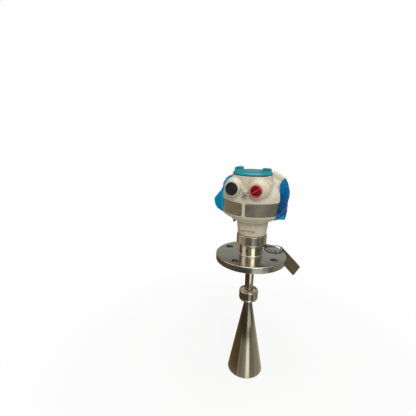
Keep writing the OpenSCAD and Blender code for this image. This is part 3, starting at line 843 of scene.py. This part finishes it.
NECK_R, RING_R, TUBE_R, GUIDE_R, HORN_R = 27.2, 35, 10.3, 7, 44.1
turned("polished_neck", "process_neck", polished, [
    (TUBE_R, 18, 0), (29.2, 18, 0.2), (28.4, 19.3, 0.6), (NECK_R, 20.2, 0.8), (NECK_R, 43, 0.8),
    (28.4, 44, 0.5),
    (33.5, 46.3, 0.6), (RING_R, 47.8, 0.8), (RING_R, 67.5, 0.5), (34.2, 68.5, 0.4),
    (28.06, 68.5, 0.3), (28.06, 56, 0.2), (20, 56, 0.3), (20, 30, 0.3), (TUBE_R, 30, 0)])
turned("waveguide", "waveguide_tube", polished, [
    (GUIDE_R, -99, 0), (TUBE_R, -99, 0.4), (TUBE_R, 29.9, 0.4), (GUIDE_R, 29.9, 0.2)], 96)
turned("hub", "horn_hub", polished, [
    (GUIDE_R, -105, 0), (18, -105, 0.8), (23.1, -101.5, 4.5), (23.1, -79, 2), (21.3, -77, 0.8),
    (TUBE_R, -77, 0), (TUBE_R, -99, 0), (GUIDE_R, -99, 0)])
turned("horn_cone", "horn", brushed, [
    (GUIDE_R, -105, 0), (8.6, -105, 0.3), (43.5, -299.9, 3), (HORN_R, -301.5, 0.5), (HORN_R, -302.3, 0.3),
    (42.3, -302.3, 0.3), (41.7, -299.9, 2)], 224)

# %% [markdown]
# ## Flange
# A turned disc with a raised sealing face below and four bolt holes. The holes are drilled with a
# boolean, and a bevel breaks their edges as a countersink does.

# %% Flange
BOLT_CIRCLE_R, BOLT_HOLE_R, FIRST_HOLE = 62.5, 9, 75.75
disc = lathe("process_flange", rounded([
    (TUBE_R, 0, 0), (51, 0, 0.4), (51, 3, 0.4), (81.5, 3, 0.6), (82.5, 4, 0.6), (82.5, 17, 0.6),
    (81.5, 18, 0.6), (TUBE_R, 18, 0), (TUBE_R, 0, 0)])[:-1], closed=True, steps=256)
drills = []
for i in range(4):
    angle = math.radians(FIRST_HOLE + 90 * i)
    centre = (BOLT_CIRCLE_R * math.cos(angle), BOLT_CIRCLE_R * math.sin(angle))
    drill_profile = np.array([[0, -5], [BOLT_HOLE_R, -5], [BOLT_HOLE_R, 25], [0, 25]], float)
    drills.append(lathe("drill", drill_profile, centre, steps=64))
drill = join("drill_set", drills)
disc.data.materials.append(faced)
holes = disc.modifiers.new("bolt holes", "BOOLEAN")
holes.operation = "DIFFERENCE"
holes.solver = "EXACT"
holes.object = drill
bpy.context.view_layer.update()
cut_mesh = bpy.data.meshes.new_from_object(disc.evaluated_get(bpy.context.evaluated_depsgraph_get()))
disc.modifiers.clear()
disc.data = cut_mesh
bpy.data.objects.remove(drill)
edges = disc.modifiers.new("broken edges", "BEVEL")
edges.limit_method = "ANGLE"
edges.angle_limit = math.radians(50)
edges.width = 0.7 * MM
edges.segments = 2
even_shading(disc)
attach(disc, "base")
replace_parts(disc, "flange")
print("flange:", len(disc.data.polygons), "faces")

# %% [markdown]
# ## Tag, wire loop and sleeve
# A stamped steel tag hangs over the flange's rim on two turns of wire, held by a crimped sleeve.
# The tag is a grid between its hole and its round-cornered outline.

# %% Tag
SIDE_TURN = math.radians(26)
TAG_W, TAG_H, TAG_HOLE_R = 68, 32, 2.6
tag_place = (Matrix.Rotation(SIDE_TURN, 4, "Z") @ Matrix.Translation((82.6 * MM, 38.7 * MM, 20.4 * MM))
             @ Matrix.Rotation(math.radians(-50), 4, "Z") @ Matrix.Rotation(math.radians(-6.6), 4, "X")
             @ Matrix.Rotation(math.radians(27.7), 4, "Y") @ Matrix.Rotation(math.pi / 2, 4, "X"))


def tag_sheet():
    """Each point lies between the hole's edge and the outline, on a ray from the hole's centre;
    the sheet is bowed by a quarter of a millimetre, as stamped sheet is."""
    hole = np.array([3.6, -3.6])
    turn = np.linspace(0, 2 * np.pi, 161)[:-1]
    corner, half = 1.5, np.array([TAG_W / 2, TAG_H / 2])
    ray = np.stack([np.cos(turn), np.sin(turn)], -1)
    middle = half * [1, -1]
    reach = np.full(len(turn), 120.0)
    for _ in range(60):
        at = hole + reach[:, None] * ray - middle
        away = np.abs(at) - (half - corner)
        distance = np.linalg.norm(np.maximum(away, 0), axis=1) + np.minimum(away.max(1), 0) - corner
        reach -= distance
    share = np.linspace(0, 1, 14)[:, None, None] ** 1.3
    flat = hole + ray * (TAG_HOLE_R + share * (reach - TAG_HOLE_R)[:, None])
    bow = 0.25 * np.sin(np.pi * flat[..., 0] / TAG_W) + 0.25
    points = np.concatenate([flat, bow[..., None]], -1).reshape(-1, 3)
    return points, grid_quads(14, len(turn), False, True)


tag_points, tag_quads = tag_sheet()
tag = close_up(build_mesh("hanging_tag", tag_points, tag_quads))
tag.data.transform(tag_place)
wall = tag.modifiers.new("sheet thickness", "SOLIDIFY")
wall.thickness = 0.8 * MM
wall.offset = 0
bevel = tag.modifiers.new("broken edges", "BEVEL")
bevel.width = 0.2 * MM
bevel.segments = 2
tag.data.materials.append(stamped)
even_shading(tag)
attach(tag, "base")
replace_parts(tag, "tag_plate")

# %% Wire and sleeve
WIRE_TURNS = [
    [(37, 24, 0.8), (42, 11, 0.8), (52, 2, 0.8), (61, 0, 0.8), (70, 2, 0.8), (79, 12, 0.8), (84, 26, -1.2),
     (83.1, 37.2, -2.8), (83, 42.5, -2.4), (78.5, 46, -0.6), (72, 47, 0.8), (60, 47, 0.8), (50, 44, 0.8),
     (41, 36, 0.8)],
    [(38, 29, 2.4), (44, 17, 2.4), (52, 11.5, 2.4), (61, 10, 2.4), (70, 11.5, 2.4), (78, 20, 2),
     (82, 29, 0.4), (83.1, 37.2, -1.2), (82, 42, -0.6), (78, 44, 1.2), (71, 44.5, 2.4), (60, 44, 2.4),
     (50, 41.5, 2.4), (42, 36.5, 2.4)]]


def wire_turn(route, radius=0.7, steps=224, sides=10):
    """A closed smooth curve through the route's points, a cubic between each two of them, with a
    circle carried along it square to its direction."""
    p = np.array(route, float)
    t = np.linspace(0, len(p), steps, endpoint=False)
    i = t.astype(int)
    f = (t - i)[:, None]
    a, b, c, d = (p[(i + k) % len(p)] for k in (-1, 0, 1, 2))
    line = 0.5 * (2 * b + f * (c - a) + f ** 2 * (2 * a - 5 * b + 4 * c - d)
                  + f ** 3 * (3 * b - a - 3 * c + d))
    ahead = np.roll(line, -1, 0) - np.roll(line, 1, 0)
    ahead /= np.linalg.norm(ahead, axis=1, keepdims=True)
    side = np.cross(ahead, [0, 0, 1])
    side /= np.linalg.norm(side, axis=1, keepdims=True)
    up = np.cross(side, ahead)
    turn = np.linspace(0, 2 * np.pi, sides, endpoint=False)[None, :, None]
    points = line[:, None] + radius * (np.cos(turn) * side[:, None] + np.sin(turn) * up[:, None])
    return close_up(build_mesh("wire", points.reshape(-1, 3), grid_quads(steps, sides, True, True)))


side_place = Matrix.Rotation(SIDE_TURN, 4, "Z") @ Matrix.Translation((0, 0, 18 * MM))
wire = join("tag_wire", [wire_turn(route) for route in WIRE_TURNS])
wire.data.transform(side_place)
wire.data.materials.append(drawn)
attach(wire, "base")
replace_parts(wire, "tag_loop")


def sleeve_form(x, y, z):
    """Two barrels round the wires with a pinched web between them."""
    low = np.hypot(y - 0.3, z - 1.8) - 1.8
    high = np.hypot(y - 10.2, z - 1.8) - 1.8
    web = block(x, y, z, (58, 0, 0.9), (64, 11, 2.7), 0.6)
    return overlap(joined(joined(low, high, 1), web, 1.2), np.abs(x - 61) - 1.5, 0.5)


sleeve = surface("wire_sleeve", sleeve_form, (59, -2.5, -0.5), (63, 13.5, 4.5), 0.3)
sleeve.data.transform(side_place)
sleeve.data.materials.append(drawn)
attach(sleeve, "base")
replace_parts(sleeve, "tag_ferrule")

# %% [markdown]
# ## Protective film
# The film is a thin sheet wrapped round the back of the head from the right side. It lies close at
# its front edge and along its top, hangs loose behind, and its free end stands off on the left as a
# stiff flap. There and along its lower hem the film lies double, which deepens its tint. It is
# one grid: along the wrap one way and up the head the other.

# %% Film
def ease(value, low, high):
    """From 0 to 1 between two values, with a soft start and end."""
    t = np.clip((value - low) / (high - low), 0, 1)
    return t * t * (3 - 2 * t)


# The wrap ends at an angle from the front, and takes a share of the sheet; the rest is the flap.
WRAP_END, WRAP_SHARE = 283, 0.88
# How far the film stands off the head's round outline at each height, by the angle from the front:
# at its front edge, on the right, behind and on the left. Negative values follow the head where it
# closes in.
FILM_HEIGHTS = [104, 113, 121, 134, 150, 160, 174, 183, 190, 198, 204, 209]
FILM_GAPS = {
    62: [-6, -4.6, -2, 0.9, 0.9, 0.9, -1.6, -3, -4, -5.5, -7, -9],
    80: [-0.6, 0.3, 1, 2, 3.2, 4.8, 5, 2.4, -0.1, -5, -10.5, -15],
    110: [-2, -0.5, 1, 3, 4, 4.8, 5, 2.4, -0.5, -5.2, -10.5, -15],
    180: [-3, -0.5, 2, 4, 4.6, 5, 5, 3, 0, -5, -10.5, -15],
    262: [-3, -0.5, 2.5, 4, 4.5, 4.5, 4, 3.6, -0.6, -5.4, -10.5, -15],
    WRAP_END: [-3, -0.5, 3, 5, 5, 4.6, 3.4, 3.6, -1, -5.6, -11, -16]}
# Heights on the flap, and how far it reaches out at each.
FLAP = ([104, 109, 113, 119.5, 128, 138, 143, 147, 155.5, 164, 173, 209],
        [0, 0, 4, 12.5, 18, 19, 19, 17, 9, 3, 0.3, 0])


def film_points(rows=96, columns=330):
    """The wrap goes round the rear compartment's axis at the outline's radius plus the tabled
    gap; past its last angle it leaves to the left as a flap. Folds are sums of waves, one long
    crease runs up from the front corner, and points that would touch the casting are moved out
    along its field's slope until they stand half a millimetre off. Two marks go with the points:
    how near a crease is, and where the film lies double."""
    u = np.linspace(0, 1, columns)[None, :]
    v = np.linspace(0, 1, rows)[:, None]
    turn = np.clip(u / WRAP_SHARE, 0, 1)
    top = np.interp(turn, [0, 0.03, 0.09, 0.2, 0.4, 0.7, 0.92, 1], [193, 198, 201, 199, 202, 206, 198, 195])
    low = 107 + 7 * (1 - ease(turn, 0, 0.2)) + 2 * np.sin(13 * turn + 0.6) ** 2
    z = low + (top - low) * v
    front = np.interp(z, [104, 117, 132, 145, 160, 176, 204], [51, 53.2, 56.4, 59.5, 61.2, 62.3, 63])
    degrees = front + (WRAP_END - front) * turn
    angle = np.radians(degrees)
    belly = REAR_Y * np.cos(angle) + np.sqrt(BELLY_R ** 2 - REAR_Y ** 2 * np.sin(angle) ** 2)
    outline = np.maximum(REAR_R, belly)
    gaps = np.array([np.interp(z, FILM_HEIGHTS, gap) for gap in FILM_GAPS.values()])
    stops = np.array(list(FILM_GAPS), float)
    slot = np.clip(np.searchsorted(stops, degrees) - 1, 0, len(stops) - 2)
    share = ease(degrees, stops[slot], stops[slot + 1])
    before, after = (np.take_along_axis(gaps, slot[None] + k, 0)[0] for k in (0, 1))
    gap = before * (1 - share) + after * share
    loose = ease(degrees, 66, 88) * (1 - 0.7 * ease(z, 180, 192))
    folds = (0.7 * np.sin(9 * angle + 0.045 * z) + 0.5 * np.sin(17 * angle - 0.09 * z + 1.0)
             + 0.5 * np.sin(0.16 * z + 4 * angle)) * loose
    lines = [(124, 57, 0.50, 98), (150, 100, 0.9, 140), (170, 205, -0.5, 262), (128, 240, 0.7, 280)]
    crease = np.zeros(z.shape)
    for start_z, start, slope, end in lines:
        away = np.abs(z - start_z - slope * (degrees - start)) / 1.1
        crease += np.exp(-away) * ease(degrees, start - 2, start + 3) * (1 - ease(degrees, end - 6, end))
    radius = outline + gap + folds + 1.1 * crease
    off = np.clip((u - WRAP_SHARE) / (1 - WRAP_SHARE), 0, 1)
    reach = np.interp(z, *FLAP) * off
    sway = 1.1 * np.sin(0.12 * z + 5 * off) * off
    x = radius * np.sin(angle) - reach * math.cos(SIDE_TURN) + sway * math.sin(SIDE_TURN)
    y = REAR_Y - radius * np.cos(angle) - reach * math.sin(SIDE_TURN) + sway * math.cos(SIDE_TURN)
    points = np.stack([x, y, z], -1).reshape(-1, 3)
    for _ in range(4):
        short = np.maximum(0.5 - casting(*points.T), 0)
        points += short[:, None] * slope_of(casting, points)
    doubled = np.maximum(ease(off, 0.05, 0.3), 1 - ease(z, 110, 122))
    marks = {"crease": np.clip(crease, 0, 1).ravel(), "doubled": doubled.ravel()}
    return points, grid_quads(rows, columns), points.reshape(rows, columns, 3), marks


points, quads, film_grid, marks = film_points()
film = build_mesh("film_wrap", points, quads)
for name, values in marks.items():
    mark_points(film, name, values)
wall = film.modifiers.new("film thickness", "SOLIDIFY")
wall.thickness = 0.2 * MM
wall.offset = 0
film.data.materials.append(blue_film)
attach(film, "head")
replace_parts(film, "protective_film")

# %% [markdown]
# ## Pieces kept from the CAD
# Small and inner pieces already have the right form, so they only get their finish.

# %% Kept pieces
kept = {
    "microwave_module": module_brass, "emitter": white_ptfe, "head_seal": seal_rubber,
    "swivel_lock_screw": blackened, "earth_washer": bright, "electronics_module": black_moulding,
    "module_screws": bright, "terminal_block": green_moulding, "terminal_screws": bright,
    "lid_seal": seal_rubber, "entry_washer_right": red_moulding}
for node, finish in kept.items():
    nodes[node].data.materials.clear()
    nodes[node].data.materials.append(finish)
print(len(kept), "kept pieces")

# %% [markdown]
# ## Floor, surroundings and light
# The floor is pale and the background white. Polished metal shows only what stands round it, so
# rings of glowing cards stand out of view, where a photographer sets flags and reflectors: dark ones
# give the metal its dark bands and pale ones its bright bands. They only show in reflections, as
# painted reflections.

# %% Stage
floor_mm = cad_box[0][2] / MM
FLOOR_HALF = 6000
# The camera stands at this angle to the right of the front. The cards start and end opposite it.
VIEW_TURN = 17
CARDS_FROM = VIEW_TURN - 180
# Cards that the two rings round and above the head have in common.
HEAD_CARDS = [(-76, "7C6853", 1), (-34, "FFEEDC", 1.4), (-3, "94836C", 1), (24, "A8A282", 1),
              (56, "FFFCE8", 2.6), (125, "7A7558", 1)]
# Each ring of cards: its path, then (last angle from the front, colour, strength) for one card
# after the other, from CARDS_FROM round to the right. Paths are (radius, height). The first ring
# has none: it lies where the horn, a mirror that starts at its own rim, throws each band.
RINGS = [
    (None, [(-32, "6A5938", 1), (-26, "B5AC98", 1), (-5, "8F8878", 1), (14, "A8A190", 1),
            (26, "CAC3B1", 1), (50, "FFFAEE", 1.75), (58, "B4AD9A", 1), (92, "938E7B", 1),
            (140, "B3AE99", 1), (197, "C6C1AE", 1)]),
    ([(320, floor_mm + 1), (470, floor_mm + 1)],
     [(-38, "59462B", 1), (19, "47463F", 1), (50, "A4A599", 1), (75, "525547", 1), (197, "918D80", 1)]),
    ([(470, floor_mm + 1), (680, floor_mm + 1)],
     [(10, "473B29", 1), (26, "6A6555", 1), (74, "FFFCEC", 1.1), (110, "5E5E52", 1), (197, "88857A", 1)]),
    ([(680, floor_mm + 1), (800, floor_mm + 1), (822, floor_mm + 12)],
     [(-38, "5C4A2F", 1), (24, "42413A", 1), (55, "D8D6C8", 1), (92, "6A7060", 1), (197, "9A9885", 1)]),
    ([(822, floor_mm + 12), (830, floor_mm + 22), (830, -200)],
     [(-99, "7E6344", 1), (-66, "B09E7C", 1), (-28, "9E8E7C", 1), (19, "666155", 1), (45, "A8A393", 1),
      (62, "7D7C6B", 1), (78, "5E5C4E", 1), (96, "7D796A", 1), (120, "655F4E", 1), (197, "918A80", 1)]),
    ([(830, -200), (830, 140)], [(-22, "DCC4A6", 1), (197, "B5B5AA", 1)]),
    ([(830, 140), (830, 420)],
     [(-148, "AEAA9E", 1), *HEAD_CARDS, (150, "989680", 1), (197, "B4B2AA", 1)]),
    ([(830, 420), (830, 620)],
     [(-148, "504F49", 1), *HEAD_CARDS, (150, "656458", 1), (197, "504F49", 1)]),
    ([(830, 620), (830, 1100)], [(197, "9A9890", 1)])]


def heading(degrees):
    """The flat direction at an angle from the front, counted towards the right."""
    return np.array([np.sin(np.radians(degrees)), -np.cos(np.radians(degrees))])


def ring_of_cards(path, cards):
    """Each card runs from the last card's angle to its own in steps of 3 degrees or less. With a
    path it is swept round the axis. Without one it starts on the horn's rim, where the surface
    that throws that angle faces halfway between it and the view, and close to the
    rim its tone drifts to an even grey. The tone, linear light times strength, is kept at every
    point of its mesh."""
    start, pieces = CARDS_FROM, []
    even = np.array(linear("C8C0AC"))
    for end, code, strength in cards:
        turn = np.linspace(start, end, 2 + (end - start) // 3)[None, :]
        if path is None:
            away = np.geomspace(2, 300, 16)[:, None]
            flat = HORN_R * heading((turn + VIEW_TURN) / 2) + away * heading(turn)
            z = np.full(flat.shape[1:], floor_mm + 1.0)
            drift = 0.3 * np.exp(-away / 30) + 0 * turn
        else:
            r, z = (np.array(path, float)[:, k][:, None] for k in (0, 1))
            flat = r * heading(turn)
            z = z + 0 * turn
            drift = 0 * z
        points = np.stack([flat[0], flat[1], z], -1).reshape(-1, 3)
        piece = build_mesh("card", points, grid_quads(*z.shape))
        tone = np.array(linear(code)) * [strength, strength, strength, 1]
        layer = piece.data.color_attributes.new("tone", "FLOAT_COLOR", "POINT")
        tones = tone + drift.reshape(-1, 1) * (even - tone)
        layer.data.foreach_set("color", tones.ravel().astype(np.float32))
        pieces.append(piece)
        start = end
    return pieces


def shown(tree):
    """1 for rays that come from the eye straight, off a mirror or through the film, else 0."""
    ray = add(tree, "ShaderNodeLightPath")
    mirrored = combine(tree, ray.outputs["Is Camera Ray"], ray.outputs["Is Glossy Ray"], "MAXIMUM")
    return combine(tree, mirrored, ray.outputs["Is Transmission Ray"], "MAXIMUM")


reflection_glow = bpy.data.materials.new("painted reflection glow")
reflection_glow.use_nodes = True
tree = reflection_glow.node_tree
tree.nodes.clear()
tone = add(tree, "ShaderNodeVertexColor", layer_name="tone").outputs["Color"]
# The cards glow with their tones and no lamp stands behind them: painted reflections, seen only by mirrored
# rays.
glow = add(tree, "ShaderNodeEmission", {"Color": tone, "Strength": 1.0})
add(tree, "ShaderNodeOutputMaterial", {"Surface": glow.outputs["Emission"]})
cards = join("painted_reflection_cards", [piece for path, ring in RINGS for piece in ring_of_cards(path, ring)])
cards.data.materials.append(reflection_glow)
cards.visible_camera = cards.visible_diffuse = cards.visible_shadow = cards.visible_transmission = False

floor_finish, tree, shader = new_finish("pale studio floor", Roughness=0.9, Specular_IOR_Level=0.1)
tone = noise(tree, place(tree), 400, 2)
tree.links.new(two_tones(tree, tone, ["D6D5D2", "DAD9D6"]), shader.inputs["Base Color"])
seen = shown(tree)
white = add(tree, "ShaderNodeEmission", {"Color": linear("FFFFFF"), "Strength": 1.0})
away = add(tree, "ShaderNodeVectorMath", {0: place(tree)}, operation="LENGTH").outputs["Value"]
fade_range = {"Value": away, "From Min": 0.25, "From Max": 0.8, "To Min": 0.88, "To Max": 1.0}
fade = add(tree, "ShaderNodeMapRange", fade_range, interpolation_type="SMOOTHSTEP").outputs["Result"]
white_part = combine(tree, seen, fade, "MULTIPLY")
mixed = add(tree, "ShaderNodeMixShader",
            {0: white_part, 1: shader.outputs["BSDF"], 2: white.outputs["Emission"]})
tree.links.new(mixed.outputs["Shader"], tree.nodes["Material Output"].inputs["Surface"])
floor_corners = [(-1, -1), (1, -1), (1, 1), (-1, 1)]
floor = build_mesh("studio_floor", [(FLOOR_HALF * x, FLOOR_HALF * y, floor_mm) for x, y in floor_corners],
                   np.array([[0, 1, 2, 3]]))
floor.data.materials.append(floor_finish)

world = bpy.data.worlds.new("studio")
bpy.context.scene.world = world
world.use_nodes = True
tree = world.node_tree
tree.nodes.clear()
seen = shown(tree)
dim = add(tree, "ShaderNodeBackground", {"Color": linear("FFFFFF"), "Strength": 0.27})
clear = add(tree, "ShaderNodeBackground", {"Color": linear("FFFFFF"), "Strength": 1.0})
both = add(tree, "ShaderNodeMixShader",
           {0: seen, 1: dim.outputs["Background"], 2: clear.outputs["Background"]})
add(tree, "ShaderNodeOutputWorld", {"Surface": both.outputs["Shader"]})


def lamp(name, where, target, size, power):
    """A square soft light aimed at a point."""
    light = bpy.data.lights.new(name, "AREA")
    light.size = size
    light.energy = power
    piece = put(name, light)
    piece.location = where
    aim = Vector(target) - Vector(where)
    piece.rotation_euler = aim.to_track_quat("-Z", "Y").to_euler()
    return piece


lamp("overhead softbox", (0.2, -0.2, 1.5), (0, 0, 0.1), 1.2, 14)
lamp("right softbox", (0.95, -1.25, 1.3), (0, 0, 0.1), 0.6, 19)
lamp("left fill", (-1.2, -0.9, 0.8), (0, 0, 0.1), 0.9, 2)

# %% [markdown]
# ## Camera
# It stands in front of the head and to the right, a little above it, and looks down past it.

# %% Camera
camera = put("camera", bpy.data.cameras.new("camera"))
camera.data.sensor_width = 36
camera.data.lens = 25.92
camera.data.clip_start = 0.01
camera.matrix_world = (Matrix.Translation((0.1994, -0.6462, 0.2961))
                       @ Matrix.Rotation(math.radians(26.0), 4, "Z")
                       @ Matrix.Rotation(math.radians(75.78), 4, "X")
                       @ Matrix.Rotation(math.radians(1.0), 4, "Z"))
bpy.context.scene.camera = camera
bpy.context.scene.view_settings.view_transform = "Standard"
